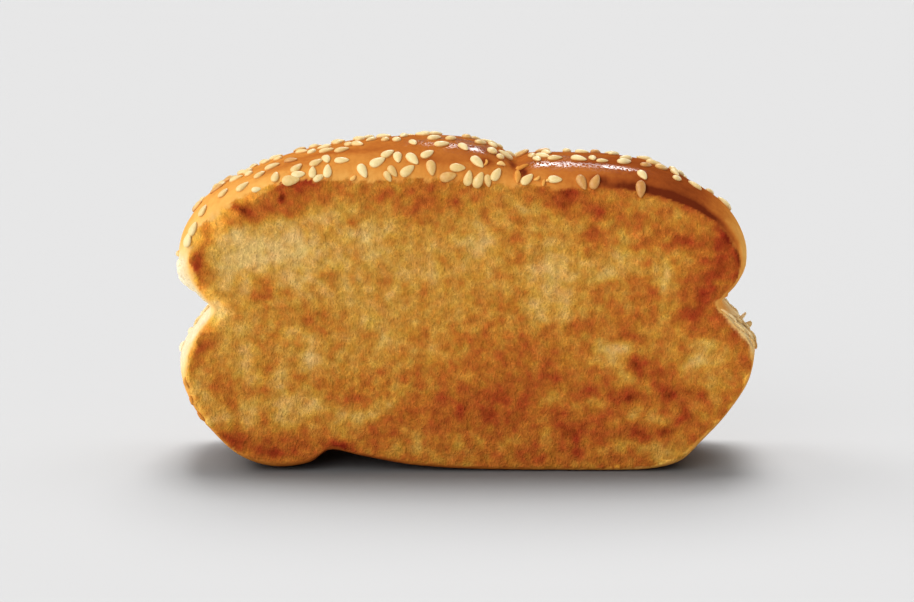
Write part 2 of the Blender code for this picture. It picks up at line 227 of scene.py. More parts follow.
PALE_MARKS = (
    (-44, 49.5, 11.5, 5, 0.32), (-48, 45, 6, 2.5, 0.06), (-36, 47.5, 5, 4, 0.18),
    (-51.5, 45, 3, 4, 0.22), (-51.5, 52.5, 3, 2, 0.08), (-20.5, 51.5, 5, 3, 0.26),
    (-29.5, 56.5, 3.5, 2.3, 0.14), (1.5, 50.5, 4, 5, 0.20), (3, 50, 1.5, 2, 0.25),
    (-7.5, 42.5, 2, 2, 0.25), (17, 46, 5.5, 5.5, 0.25), (15.5, 36, 2, 2, 0.20),
    (21, 40, 4.5, 5.5, 0.12), (31.5, 45, 3.5, 3, 0.20), (42, 43, 1.5, 4, 0.28),
    (31, 26.5, 3.5, 3, 0.35), (51.5, 26.5, 5, 4, 0.45), (52, 18, 1.5, 1.5, 0.18),
    (12, 56.5, 2.5, 1.5, 0.20), (-33.5, 24.5, 2, 2.5, 0.40), (-41, 19.5, 1.5, 3, 0.30),
    (-48, 25, 2, 4.5, 0.20), (-54, 35.5, 3, 2.5, 0.20), (-47.5, 13.5, 3.5, 2, 0.22),
    (-39, 13, 3.5, 3, 0.25), (-32, 14.5, 3, 1.5, 0.20), (-17, 29, 2, 2.5, 0.28),
    (-24, 12, 3.5, 2, 0.30), (-19, 15, 3, 2, 0.25), (-12, 7.5, 3, 2, 0.24),
    (-2, 5.5, 2.5, 1.5, 0.20), (7, 7.5, 8.5, 2, 0.12), (19, 16.5, 2.5, 2, 0.30),
    (24.5, 15, 5, 1.5, 0.20), (35.5, 13.5, 1.5, 1.5, 0.35), (35, 5.5, 5, 2, 0.18),
    (42.5, 4, 3.5, 2, 0.18), (40.5, 12, 2.5, 1.5, 0.25), (22, 20.5, 2, 1.5, 0.20),
    (34, 21, 2, 1.5, 0.25), (51, 51.5, 1.5, 1.5, 0.20), (-28, 41, 26, 10, 0.14),
    (-56, 18, 5, 13, 0.20), (42, 20, 7, 7, 0.10),
)
FACE_TOASTING = 0.43    # level of a cut face between its marks
FACE_MOTTLING = ((7.0, 5, 0.08), (3.2, 6, 0.12), (1.5, 7, 0.05))    # noise: lump, seed, strength
EDGE_TOASTING = 0.10    # how much browner the cut face is at its edge
EDGE_TOASTING_REACH = 1.8       # millimetres over which that fades
MARK_WANDER_SIZE = 3.5  # lump of the noise that bends the marks' outlines
MARK_WANDER = 1.3       # and how far it bends them
BACK_MARKS = 110        # marks that a seeded rule puts on the back cut face
WIDE_BACK_MARKS = 13    # how many of those are wide and faint
BACK_MARKS_X = (-56, 56)
BACK_MARKS_Z = (4, 60)

# How baked the crust is round the outline, from 0, pale cream, to 1, dark brown: outline
# row and level, for the middle of the crust.
CRUST_BAKING = (
    (0.0, 0.10), (2.0, 0.08), (3.2, 0.14), (4.2, 0.34), (6.0, 0.44), (8.0, 0.56), (10.0, 0.64),
    # Partly painted sheen: the low levels at rows 20.3 and 21.5, on the right of the upper swell.
    (12.0, 0.70), (14.0, 0.66), (16.0, 0.72), (17.5, 0.80), (19.0, 0.84), (20.3, 0.50),
    (21.5, 0.36), (23.0, 0.50), (25.0, 0.46), (26.0, 0.28), (27.8, 0.26), (28.6, 0.42),
    # Partly painted light: the lower levels at rows 31 and 34, on the down-facing lower right edge.
    (31.0, 0.44), (34.0, 0.42), (36.0, 0.68), (40.0, 0.78), (43.0, 0.56), (45.6, 0.44),
    (46.6, 0.10), (50.0, 0.10),
)
CRUST_MOTTLING = ((9.0, 8, 0.05), (3.0, 9, 0.04))
# How far in from the cut edge the crumb glows amber: outline row, millimetres.
AMBER_DEPTHS = (
    (0.0, 3.2), (1.6, 3.0), (2.3, 0.5), (3.2, 0.6), (3.9, 3.4), (5.2, 7.0), (6.2, 4.6), (7.2, 1.4),
    (8.5, 0.0), (28.2, 0.0), (29.5, 0.3), (33.0, 0.5), (34.5, 0.0), (43.5, 0.0), (45.0, 1.6),
    (46.6, 0.6), (48.2, 0.6), (48.8, 3.0), (50.0, 3.2),
)
# How much paler the crust is next to the cut edge than in its middle: outline row, level.
FRONT_PALER = (
    (0.0, -0.24), (3.0, -0.20), (4.0, 0.08), (6.0, 0.12), (9.0, 0.19), (11.0, 0.22), (15.0, 0.21),
    (17.0, 0.0), (46.0, 0.0), (46.8, -0.20), (50.0, -0.24),
)
# How far round the crust from the cut edge that reaches: outline row, millimetres.
FRONT_PALER_WAY = ((0.0, 4.5), (3.4, 4.5), (5.0, 9.0), (44.0, 9.0), (46.0, 4.5), (50.0, 4.5))
# Marks on the front crust: outline row, way from the cut edge in millimetres, half width
# in rows, half width across, and how much darker than round them.
CRUST_MARKS = (
    # The first mark is painted shade in the crease between the two swells.
    (13.75, 8.0, 0.26, 2.8, 0.28), (14.42, 4.6, 0.30, 2.3, 0.60), (16.5, 2.0, 0.18, 1.3, 0.30),
    (10.9, 4.5, 0.35, 1.2, 0.14), (12.3, 5.5, 0.25, 1.2, 0.20), (14.7, 2.0, 0.3, 1.0, 0.14),
    (9.0, 9.5, 0.8, 1.5, 0.12), (16.0, 8.5, 0.8, 1.2, 0.14), (12.0, 11.0, 1.2, 1.6, 0.12),
    (8.0, 5.5, 0.7, 2.0, 0.08),
)
# The dark line between the crust and the cut face: outline row, how far out from the cut
# edge it runs in millimetres, and its strength.
# Its darkness is painted shade of the groove that GROOVE_DEPTH cuts along it.
DARK_LINE = (
    (16.4, 1.0, 0.0), (17.2, 1.1, 0.75), (18.0, 1.3, 1.0), (19.5, 1.0, 1.0), (20.6, 0.5, 0.9),
    (21.6, 0.0, 0.7), (22.6, 0.0, 0.0),
)
DARK_LINE_WIDTH = 0.95
GROOVE_DEPTH = 0.35     # of the relief along that line
TORN_ROWS = ((0.4, 3.4), (25.6, 28.2), (46.6, 49.6))    # torn, unbaked shoulders of the lobes
# Glossy blisters on the crown: outline row, way from the cut edge in millimetres, half width
# in rows and half width across.
SHINE_PATCHES = (
    (10.6, 13.0, 0.25, 1.4), (12.0, 12.4, 0.85, 3.4), (15.4, 8.0, 0.55, 2.2),
    (16.8, 6.6, 0.60, 1.4), (11.6, 16.5, 0.60, 1.6), (15.9, 13.5, 0.60, 1.6),
)

# ---------------------------- the relief
# Layers of noise: lump, seed and height.
FACE_RELIEF = ((1.3, 12, 0.08), (2.1, 23, 0.08), (4.0, 13, 0.10))
CRUST_RELIEF = ((1.4, 14, 0.02), (7.0, 15, 0.10))
FACE_RISE = 0.10        # of the browned crumb, which lies proud of the pale hollows
HOLLOW_DEPTH = 0.34     # of the palest crumb
STRAND_HEIGHT = 0.26    # of the strands of torn crumb, which run along the outline
TEAR_HEIGHT = 0.20      # of the lumps among them
TEAR_DEPTH = 0.12       # how far torn crust lies below the sound crust
PIT_COUNT = 420         # open pores of both cut faces
PIT_X = (-58, 58)
PIT_Z = (3, 61)
PIT_RADII = (0.45, 1.1)
PIT_DEPTHS = (0.08, 0.32)
# Stretches of the outline where the cut edge is ragged: first and last row.
RAGGED_CROWN = (3.4, 17.0)
RAGGED_FOOT = (42.5, 47.0)


def clamp(values, low=0.0, high=1.0):
    """Keep values between two limits."""
    return np.clip(values, low, high)


def smooth_step(values, start, end):
    """Rise smoothly from 0 at start to 1 at end."""
    t = clamp((values - start) / (end - start))
    return t * t * (3 - 2 * t)


def within(values, limits, softness):
    """Give 1 between two limits and 0 outside, with soft ends."""
    low, high = limits
    rise = smooth_step(values, low - softness, low + softness)
    return rise * (1 - smooth_step(values, high - softness, high + softness))


def smooth_noise(points, seed):
    """Read gradient noise, from about -1 to 1 with lumps one unit wide, at many points."""
    draw = np.random.RandomState(seed)
    order = np.tile(draw.permutation(256), 3)
    slopes = draw.normal(size=(256, 3))
    slopes /= np.linalg.norm(slopes, axis=1)[:, None]
    cell = np.floor(points).astype(int)
    part = points - cell
    fade = part ** 3 * (part * (part * 6 - 15) + 10)
    total = np.zeros(len(points))
    for corner in itertools.product((0, 1), repeat=3):
        spot = (cell + corner) & 255
        slope = slopes[order[order[order[spot[:, 0]] + spot[:, 1]] + spot[:, 2]]]
        share = np.prod(np.where(corner, fade, 1 - fade), axis=1)
        total += share * np.sum(slope * (part - corner), axis=1)
    return 1.6 * total


# ---------------------------- form functions
def outline_at(row):
    """Read the closed outline at a row number, whole or not, as a smooth curve."""
    first = math.floor(row)
    t = row - first
    p0, p1, p2, p3 = (OUTLINE[(first + k) % len(OUTLINE)] for k in (-1, 0, 1, 2))
    return [
        0.5 * (2 * b + (c - a) * t + (2 * a - 5 * b + 4 * c - d) * t * t
               + (3 * b - a - 3 * c + d) * t ** 3)
        for a, b, c, d in zip(p0, p1, p2, p3)
    ]


def crust_point(row, turn):
    """Place a point on the crust, turn degrees round from the front cut edge to the back."""
    face_x, face_z, mid_x, mid_z = outline_at(row)
    sine = math.sin(math.radians(turn))
    cosine = math.cos(math.radians(turn))
    swell = abs(sine) ** (2 / SHOULDER_POWER)
    depth = math.copysign(abs(cosine) ** (2 / SHOULDER_POWER), cosine)
    x = face_x + (mid_x - face_x) * swell
    z = face_z + (mid_z - face_z) * swell
    return Vector((x, -depth * THICKNESS / 2, max(z, 0.0)))


def face_wave(x, z, side):
    """How far the cut face stands proud here: slow waves, unlike on the two sides."""
    phase = 1.3 * side
    wave = math.sin(x / 13.0 + phase) * math.cos(z / 9.0 - phase)
    wave += 0.5 * math.sin(x / 7.0 - z / 11.0 + 2 * phase)
    return WAVE_HEIGHT * wave / 1.5


def face_point(row, reach, side):
    """Place a point on a cut face: side is -1 at the front, reach is 1 on the edge."""
    edge_x, edge_z = outline_at(row)[:2]
    x = MIDDLE_X + (edge_x - MIDDLE_X) * reach
    z = MIDDLE_Z + (edge_z - MIDDLE_Z) * reach
    fade = 1.0 - reach ** 4
    y = side * (THICKNESS / 2 + face_wave(x, z, side) * fade)
    return Vector((x, y, z))


def bread_form():
    """Make the bare form from a sphere whose every vertex is carried to its place."""
    columns = FORM_COLUMNS_PER_ROW * len(OUTLINE)
    bands = 2 * FORM_FACE_RINGS + FORM_CRUST_STEPS
    form = bmesh.new()
    bmesh.ops.create_uvsphere(form, u_segments=columns, v_segments=bands, radius=1.0)
    for vertex in form.verts:
        around = math.atan2(vertex.co.y, vertex.co.x) / math.tau
        row = (round(around * columns) % columns) / FORM_COLUMNS_PER_ROW
        down = math.acos(max(-1.0, min(1.0, vertex.co.z))) / math.pi
        ring = round(down * bands)
        if ring < FORM_FACE_RINGS:
            place = face_point(row, ring / FORM_FACE_RINGS, -1)
        elif ring > FORM_FACE_RINGS + FORM_CRUST_STEPS:
            place = face_point(row, (bands - ring) / FORM_FACE_RINGS, 1)
        else:
            place = crust_point(row, 180.0 * (ring - FORM_FACE_RINGS) / FORM_CRUST_STEPS)
        vertex.co = place * MM
    bmesh.ops.recalc_face_normals(form, faces=form.faces[:])
    mesh = bpy.data.meshes.new("bread_form")
    form.to_mesh(mesh)
    form.free()
    return mesh


def even_mesh(mesh):
    """Wrap a form in an even mesh, fine enough to carry relief."""
    holder = bpy.data.objects.new("form_to_wrap", mesh)
    bpy.context.scene.collection.objects.link(holder)
    wrap = holder.modifiers.new("even", "REMESH")
    wrap.mode = "VOXEL"
    wrap.voxel_size = CRUMB_VOXEL * MM
    relax = holder.modifiers.new("relax", "SMOOTH")
    relax.iterations = RELAX_STEPS
    depsgraph = bpy.context.evaluated_depsgraph_get()
    wrapped = bpy.data.meshes.new_from_object(holder.evaluated_get(depsgraph))
    bpy.data.objects.remove(holder, do_unlink=True)
    bpy.data.meshes.remove(mesh)
    return wrapped


# ---------------------------- reading places
class Places:
    """Where each vertex of the slice lies: its point, normal, outline row and inset.

    The inset is how far in from the cut edge a point of a cut face lies. On the crust it is
    negative, and counts the way round the crust back to the nearer cut edge.
    """

    def __init__(self, mesh):
        count = len(mesh.vertices)
        self.points = np.empty(count * 3)
        mesh.vertices.foreach_get("co", self.points)
        self.points = self.points.reshape(-1, 3) / MM
        self.normals = np.empty(count * 3)
        mesh.vertices.foreach_get("normal", self.normals)
        self.normals = self.normals.reshape(-1, 3)
        self.side = np.sign(self.points[:, 1])
        self.row = np.empty(count)
        self.inset = np.empty(count)
        self.read_rows()

    def read_rows(self):
        """Find each vertex's row and inset from the nearest places on the crust."""
        samples = crust_samples()
        tree = kdtree.KDTree(len(samples))
        for number, (place, _, _) in enumerate(samples):
            tree.insert(place, number)
        tree.balance()
        for number, point in enumerate(self.points):
            near = tree.find_n(point, 3)
            weights = [1 / (0.02 + distance) for _, _, distance in near]
            around = sum(w * samples[n][2] for w, (_, n, _) in zip(weights, near)) / sum(weights)
            nearest, distance = near[0][1:]
            self.row[number] = samples[nearest][1]
            self.inset[number] = distance if samples[nearest][2] == 0 else -around

    def noise(self, lump, seed):
        """Read smooth noise from about -1 to 1, with lumps of this size in millimetres."""
        return smooth_noise(self.points / lump, seed)

    def layered_noise(self, layers):
        """Add up smooth noise of several sizes, each with its lump, seed and strength."""
        return sum(strength * self.noise(lump, seed) for lump, seed, strength in layers)


def crust_samples():
    """List places all over the crust, each with its row and the way back to the cut edge."""
    per_row = 10
    turns = range(0, 181, 3)
    samples = []
    for step in range(per_row * len(OUTLINE)):
        row = step / per_row
        line = [crust_point(row, turn) for turn in turns]
        way = [0.0]
        for before, after in zip(line, line[1:]):
            way.append(way[-1] + (after - before).length)
        samples += [(place, row, min(w, way[-1] - w)) for place, w in zip(line, way)]
    return samples


# ---------------------------- browning
def back_marks():
    """Scatter browned and pale marks over the back cut face, by a seeded rule."""
    draw = random.Random(RANDOM_SEED + 1)
    brown = []
    pale = []
    for number in range(BACK_MARKS):
        place = (draw.uniform(*BACK_MARKS_X), draw.uniform(*BACK_MARKS_Z))
        wide = number < WIDE_BACK_MARKS
        size = draw.uniform(6, 13) if wide else draw.uniform(1.3, 4.5)
        stretch = draw.uniform(0.8, 1.5)
        strength = draw.uniform(0.15, 0.36) * (0.5 if wide else 0.9)
        mark = (*place, size * stretch, size, strength)
        (brown if draw.random() < 0.6 else pale).append(mark)
    return brown, pale


def mark_field(places, marks):
    """Add up marks, whose outlines wander with noise."""
    x = places.points[:, 0] + MARK_WANDER * places.noise(MARK_WANDER_SIZE, 3)
    z = places.points[:, 2] + MARK_WANDER * places.noise(MARK_WANDER_SIZE, 4)
    field = np.zeros(len(x))
    for mark_x, mark_z, half_width, half_height, strength in marks:
        reach = ((x - mark_x) / half_width) ** 2 + ((z - mark_z) / half_height) ** 2
        field += strength * np.exp(-0.8 * reach)
    return field


def face_toasting(places):
    """How toasted the cut faces are, from 0, pale, to 1, dark."""
    front = mark_field(places, BROWN_MARKS) - mark_field(places, PALE_MARKS)
    brown, pale = back_marks()
    back = mark_field(places, brown) - mark_field(places, pale)
    level = FACE_TOASTING + np.where(places.side < 0, front, back)
    edge = EDGE_TOASTING * np.exp(-np.abs(places.inset) / EDGE_TOASTING_REACH)
    level += edge * (1 - 2.2 * amber(places))
    level += places.layered_noise(FACE_MOTTLING)
    return clamp(level, 0.02, 1.1)


def crust_baking(places):
    """How baked the crust is, from 0, pale cream, to 1, dark brown, with painted shade, sheen and
    light in a few places.
    """
    rows, levels = zip(*CRUST_BAKING)
    level = np.interp(places.row, rows, levels)
    way = np.maximum(-places.inset, 0.0)
    paler = np.interp(places.row, *zip(*FRONT_PALER))
    around = clamp(way / np.interp(places.row, *zip(*FRONT_PALER_WAY)))
    level -= paler * (1 - around) ** 1.4
    # Crust marks darken the crust; the first is painted shade in the crease.
    for row, across, half_row, half_across, darker in CRUST_MARKS:
        reach = ((places.row - row) / half_row) ** 2 + ((way - across) / half_across) ** 2
        level += np.where(places.side < 0, darker * np.exp(-reach), 0.0)
    level += places.layered_noise(CRUST_MOTTLING)
    return clamp(level)


def crust_share(places):
    """How much of the crust's colour shows: 1 on the crust, 0 on the cut face."""
    ragged = within(places.row, RAGGED_CROWN, 0.6)
    wander = (0.4 + 0.5 * ragged) * places.noise(2.2, 10) + 0.35 * places.noise(5.0, 11)
    wander += 0.35 * ragged * places.noise(0.9, 19)
    return 1 - smooth_step(places.inset + wander, -0.35, 0.35)


def amber(places):
    """How orange the crumb glows next to the crust, from 0 to 1."""
    depth = np.interp(places.row, *zip(*AMBER_DEPTHS))
    inset = np.maximum(places.inset, 0.0) + 0.9 * places.noise(2.5, 20)
    return np.where(depth > 0, 1 - smooth_step(inset / np.maximum(depth, 0.1), 0.45, 1.0), 0.0)


def shine(places):
    """Where the crown's crust is blistered and glossy, from 0 to 1."""
    way = np.maximum(-places.inset, 0.0)
    glossy = np.zeros(len(way))
    for row, across, half_row, half_across in SHINE_PATCHES:
        reach = ((places.row - row) / half_row) ** 2 + ((way - across) / half_across) ** 2
        glossy += np.exp(-reach)
    return clamp(glossy * (0.9 + 0.9 * places.noise(1.6, 21)))


# ---------------------------- relief
def dark_line(places):
    """The groove between the crust and the cut face, whose dark line is painted shade, from 0 to 1.
    """
    rows, ways, strengths = zip(*DARK_LINE)
    centre = -np.interp(places.row, rows, ways) + 0.3 * places.noise(3.0, 22)
    strength = np.interp(places.row, rows, strengths, left=0.0, right=0.0)
    line = np.exp(-((places.inset - centre) / DARK_LINE_WIDTH) ** 2)
    return line * strength * (places.side < 0)


def torn(places):
    """Where the crust is torn and shows its unbaked crumb, from 0 to 1."""
    share = sum(within(places.row, rows, 0.5) for rows in TORN_ROWS)
    return clamp(share) * smooth_step(-places.inset, 0.3, 1.5)


def pits(places):
    """Depth of the open pores of the cut faces, scattered by a seeded rule."""
    draw = random.Random(RANDOM_SEED + 2)
    depth = np.zeros(len(places.points))
    x, _, z = places.points.T
    for _ in range(PIT_COUNT):
        side = draw.choice((-1, 1))
        pit_x = draw.uniform(*PIT_X)
        pit_z = draw.uniform(*PIT_Z)
        radius = draw.uniform(*PIT_RADII)
        deep = draw.uniform(*PIT_DEPTHS)
        near = ((x - pit_x) / radius) ** 2 + ((z - pit_z) / radius) ** 2
        depth += np.where(places.side == side, deep * np.exp(-near), 0.0)
    return depth


def relief(places, toasting, share):
    """Find how far each vertex moves out along its normal, in millimetres."""
    pale = clamp(1 - toasting / 0.40)
    face = places.layered_noise(FACE_RELIEF) + FACE_RISE - HOLLOW_DEPTH * pale - pits(places)
    strands = smooth_noise(
        np.stack([places.row * 1.1, places.inset, places.side * 3.0], axis=1), 16)
    tear = STRAND_HEIGHT * strands + TEAR_HEIGHT * places.noise(2.6, 17) - TEAR_DEPTH
    crust = places.layered_noise(CRUST_RELIEF) + torn(places) * tear
    ragged = 0.14 + 0.16 * within(places.row, RAGGED_CROWN, 0.6)
    ragged += 0.24 * within(places.row, RAGGED_FOOT, 0.5)
    edge = np.exp(-((places.inset - 0.4) / 1.3) ** 2) * ragged * places.noise(1.5, 18)
    return face * (1 - share) + crust * share + edge - GROOVE_DEPTH * dark_line(places)


# ---------------------------- the slice
def store(mesh, name, values):
    """Keep one number for each vertex, for the material to read."""
    layer = mesh.attributes.new(name, "FLOAT", "POINT")
    layer.data.foreach_set("value", np.asarray(values, np.float32))


def finish_piece(name, mesh, material):
    """Place a mesh as a piece that stands for the solid and goes with its body."""
    piece = bpy.data.objects.new(name, mesh)
    bpy.context.scene.collection.objects.link(piece)
    mesh.materials.clear()
    mesh.materials.append(material)
    mesh.shade_smooth()
    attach(piece, "root")
    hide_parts("toast")
    return piece


def bread_slice():
    """Make the slice with its crumb, its crust and its browning, not yet in place."""
    mesh = even_mesh(bread_form())
    places = Places(mesh)
    toasting = face_toasting(places)
    share = crust_share(places)
    line = dark_line(places)
    ripped = torn(places)
    moved = places.points + places.normals * relief(places, toasting, share)[:, None]
    moved[:, 2] = np.maximum(moved[:, 2], 0.0)
    # The groove's dark line adds painted shade to the toasting and baking.
    store(mesh, "toasting", toasting + 0.40 * line)
    store(mesh, "baking", crust_baking(places) + 0.35 * line)
    store(mesh, "crust", share)
    store(mesh, "torn", ripped)
    store(mesh, "amber", amber(places))
    store(mesh, "shine", shine(places))
    return mesh, moved


# ---------------------------- seeds
def crust_frame(row, turn, spin):
    """Give the directions of a seed's length, width and thickness where it lies."""
    step = 0.05
    along = crust_point(row + step, turn) - crust_point(row - step, turn)
    across = crust_point(row, turn + 1) - crust_point(row, turn - 1)
    outward = along.cross(across).normalized()
    along = along.normalized()
    backward = outward.cross(along)
    angle = math.radians(spin)
    length_way = along * math.cos(angle) + backward * math.sin(angle)
    return length_way, outward.cross(length_way), outward


def scattered_seeds():
    """List every seed as row, degrees round the crust, spin, size and toasting."""
    draw = random.Random(RANDOM_SEED)
    tone_draw = random.Random(RANDOM_SEED + 3)
    seeds = list(FRONT_SEEDS)
    places = [crust_point(row, turn) for row, turn, *_ in FRONT_SEEDS]
    first_row, last_row = SEED_ROWS
    first_turn, last_turn = SEED_TURNS
    while len(seeds) < SEED_COUNT:
        row = draw.uniform(first_row, last_row)
        turn = draw.uniform(first_turn, last_turn)
        spin = draw.uniform(0, 360)
        size = 1.0 + SEED_SIZE_SPREAD * draw.uniform(-1, 1)
        stray = draw.random()
        inward = min(row - first_row, last_row - row) / SEED_EDGE_ROWS
        if draw.random() > SEED_EDGE_SHARE + (1 - SEED_EDGE_SHARE) * min(inward, 1.0):
            continue
        gap = SEED_OVERLAP_GAP if stray < SEED_OVERLAP_SHARE else SEED_GAP
        place = crust_point(row, turn)
        if min((place - other).length for other in places) < gap:
            continue
        seeds.append((row, turn, spin, size, 0.7 * tone_draw.random() ** 3))
        places.append(place)
    return seeds


def ball(sides, bands):
    """Give the vertices and faces of a unit ball, which seeds and shreds are shaped from."""
    made = bmesh.new()
    bmesh.ops.create_uvsphere(made, u_segments=sides, v_segments=bands, radius=1.0)
    points = np.array([vertex.co for vertex in made.verts])
    # Sorted, because the sphere lists its faces in another order each run.
    faces = sorted([vertex.index for vertex in face.verts] for face in made.faces)
    made.free()
    return points, faces


def seed_points(points, row, turn, spin, size, number):
    """Shape a ball into one seed, a flattened drop with a narrow tip, where it lies."""
    length_way, width_way, outward = (np.array(way) for way in crust_frame(row, turn, spin))
    middle = np.array(crust_point(row, turn)) + outward * SEED_RISE
    along = points[:, 2]
    girth = 1.0 - SEED_TIP_TAPER * along
    girth *= 1.0 + 0.07 * smooth_noise(points * 1.2 + number, RANDOM_SEED)
    length = along * size * SEED_LENGTH / 2
    width = points[:, 0] * girth * size * SEED_WIDTH / 2
    height = points[:, 1] * girth * size * SEED_THICKNESS / 2
    offset = np.outer(length, length_way) + np.outer(width, width_way) + np.outer(height, outward)
    return middle + offset


def joined_mesh(name, shaped, faces):
    """Join shapes that come from one ball into a mesh."""
    joined = np.concatenate(shaped)
    all_faces = [
        [corner + number * len(shaped[0]) for corner in face]
        for number in range(len(shaped)) for face in faces
    ]
    mesh = bpy.data.meshes.new(name)
    mesh.from_pydata(joined, [], all_faces)
    return mesh, joined


def sesame_seeds():
    """Make all the seeds as one joined mesh, not yet in place."""
    points, faces = ball(SEED_SIDES, SEED_BANDS)
    seeds = scattered_seeds()
    shaped = [
        seed_points(points, row, turn, spin, size, number)
        for number, (row, turn, spin, size, _) in enumerate(seeds)
    ]
    mesh, joined = joined_mesh("sesame_seeds", shaped, faces)
    store(mesh, "tone", np.repeat([seed[4] for seed in seeds], len(points)))
    # Painted shade: how near each vertex is to the seed's foot, where it meets the crust.
    store(mesh, "foot", np.tile(smooth_step(-points[:, 1], -0.45, 0.35), len(seeds)))
    return mesh, joined


# ---------------------------- shreds
def back_shreds():
    """Scatter shreds over the torn crust's back half, by a seeded rule."""
    draw = random.Random(RANDOM_SEED + 4)
    shreds = []
    for _ in range(BACK_SHREDS):
        first, last = draw.choice(TORN_ROWS)
        place = (draw.uniform(first, last), draw.uniform(100, 172), draw.uniform(-25, 25))
        sizes = (draw.uniform(1.6, 3.2), draw.uniform(0.6, 1.1), draw.uniform(0.6, 0.9))
        shreds.append((*place, *sizes, draw.uniform(0.15, 0.35), draw.uniform(0.08, 0.34)))
    return shreds


def shred_points(points, shred, number):
    """Bend and roughen a ball into one shred of crumb where it lies."""
    row, turn, spin, length, width, thickness, rise, _ = shred
    length_way, width_way, outward = (np.array(way) for way in crust_frame(row, turn, spin))
    middle = np.array(crust_point(row, turn)) + outward * rise
    rough = 1.0 + 0.28 * smooth_noise(points * 1.7 + 3.1 * number, RANDOM_SEED + 5)
    bend = 0.18 * length * math.sin(2.4 * number) * points[:, 2] ** 2
    along = points[:, 2] * length / 2
    across = points[:, 0] * rough * width / 2 + bend
    up = points[:, 1] * rough * thickness / 2 - 0.08 * length * points[:, 2] ** 2
    return middle + np.outer(along, length_way) + np.outer(across, width_way) + np.outer(up, outward)


def crust_shreds():
    """Make the shreds of torn crust and crumb as one joined mesh, not yet in place."""
    points, faces = ball(SHRED_SIDES, SHRED_BANDS)
    shreds = [*SHREDS, *back_shreds()]
    shaped = [shred_points(points, shred, number) for number, shred in enumerate(shreds)]
    mesh, joined = joined_mesh("crust_shreds", shaped, faces)
    baking = np.repeat([shred[-1] for shred in shreds], len(points))
    store(mesh, "baking", baking)
    store(mesh, "crust", np.ones(len(joined)))
    rows = np.array([shred[0] for shred in shreds])
    ripped = sum(within(rows, limits, 0.5) for limits in TORN_ROWS)
    store(mesh, "torn", np.repeat(ripped, len(points)))
    for name in ("toasting", "amber", "shine"):
        store(mesh, name, np.zeros(len(joined)))
    return mesh, joined


# ---------------------------- placing
def set_in_place(mesh, points, shift):
    """Give a mesh its final points, in metres where the solid is."""
    moved = (points + shift) * MM
    mesh.vertices.foreach_set("co", moved.astype(np.float32).ravel())
    mesh.update()


def shift_to_solid(points):
    """Find the move that centres the form over its base, as the solid is."""
    low, high = (np.array(corner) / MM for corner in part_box("toast"))
    middle = (points.min(axis=0) + points.max(axis=0)) / 2
    return ((low + high) / 2 - middle) * (1, 1, 0)


# ---------------------------- materials
def linear(red, green, blue):
    """Turn a colour as seen on a screen, from 0 to 255, into the shader's linear colour."""
    return (*(((c / 255 + 0.055) / 1.055) ** 2.4 for c in (red, green, blue)), 1.0)


def add_node(tree, kind, inputs, **settings):
    """Add a shader node. Each input is a constant, or the socket that feeds it."""
    made = tree.nodes.new(kind)
    for key, value in settings.items():
        setattr(made, key, value)
    for key, value in inputs.items():
        if isinstance(value, bpy.types.NodeSocket):
            tree.links.new(value, made.inputs[key])
        else:
            made.inputs[key].default_value = value
    return made


def vertex_value(tree, name):
    """Read a number kept on the vertices."""
    return add_node(tree, "ShaderNodeAttribute", {}, attribute_name=name).outputs["Fac"]


def fine_noise(tree, lump, detail=2.0, stretch_z=1.0, apart=0.0):
    """Noise from about 0 to 1 with lumps of this size in millimetres, where the surface is."""
    place = add_node(tree, "ShaderNodeTexCoord", {}).outputs["Object"]
    scaled = add_node(tree, "ShaderNodeMapping", {
        "Vector": place, "Location": (apart, apart, apart), "Scale": (1, 1, 1 / stretch_z)})
    noise_node = add_node(tree, "ShaderNodeTexNoise", {
        "Vector": scaled.outputs["Vector"], "Scale": 1 / (lump * MM), "Detail": detail})
    return noise_node.outputs["Fac"]


def step_up(tree, value, start, end):
    """Rise smoothly from 0 where a number is start to 1 where it is end."""
    node = add_node(tree, "ShaderNodeMapRange", {
        "Value": value, "From Min": start, "From Max": end}, interpolation_type="SMOOTHSTEP")
    return node.outputs["Result"]


def calculate(tree, operation, first, second):
    """Join two numbers in a Math node."""
    return add_node(tree, "ShaderNodeMath", {0: first, 1: second}, operation=operation).outputs[0]


def weigh(tree, base, noise_socket, strength):
    """Add centred noise to a number."""
    centred = calculate(tree, "SUBTRACT", noise_socket, 0.5)
    scaled = calculate(tree, "MULTIPLY", centred, strength)
    return calculate(tree, "ADD", base, scaled)


def color_ramp(tree, factor, stops):
    """Turn a number into a colour along named stops."""
    node = add_node(tree, "ShaderNodeValToRGB", {"Fac": factor})
    ramp = node.color_ramp
    while len(ramp.elements) < len(stops):
        ramp.elements.new(0.5)
    for element, (position, color) in zip(ramp.elements, stops):
        element.position = position
        element.color = linear(*color)
    return node.outputs["Color"]


def mix_color(tree, factor, first, second):
    """Mix two colours."""
    node = add_node(tree, "ShaderNodeMix", {0: factor, 6: first, 7: second}, data_type="RGBA")
    return node.outputs[2]


# Lumps of the materials' noise, in millimetres.
GRAIN_SIZE = 0.40
SPECKLE_SIZE = 1.05
PEBBLE_SIZE = 0.55      # blisters of the glossy crust
PATCH_SIZE = 2.6        # patches of more and less toasted crumb
# Lumps of the painted highlights: glints on crumb flecks and on fibres.
GLINT_SIZE = 0.6
FIBRE_GLINT_SIZE = 1.7
HUE_SIZE = 3.0
# How strongly noise shows: in toasting or baking, in brightness, and in relief.
PATCH_TOASTING = 0.62
SPECKLE_TOASTING = 0.12
SPECKLE_BAKING = 0.14
CRUMB_BRIGHTNESS = 0.94
# Partly painted light and shade: the crumb is brighter where the grain and speckle of its fine
# relief stand high, beside its own mottling.
GRAIN_TONE_AND_SHADE = 0.40
SPECKLE_TONE_AND_SHADE = 0.90
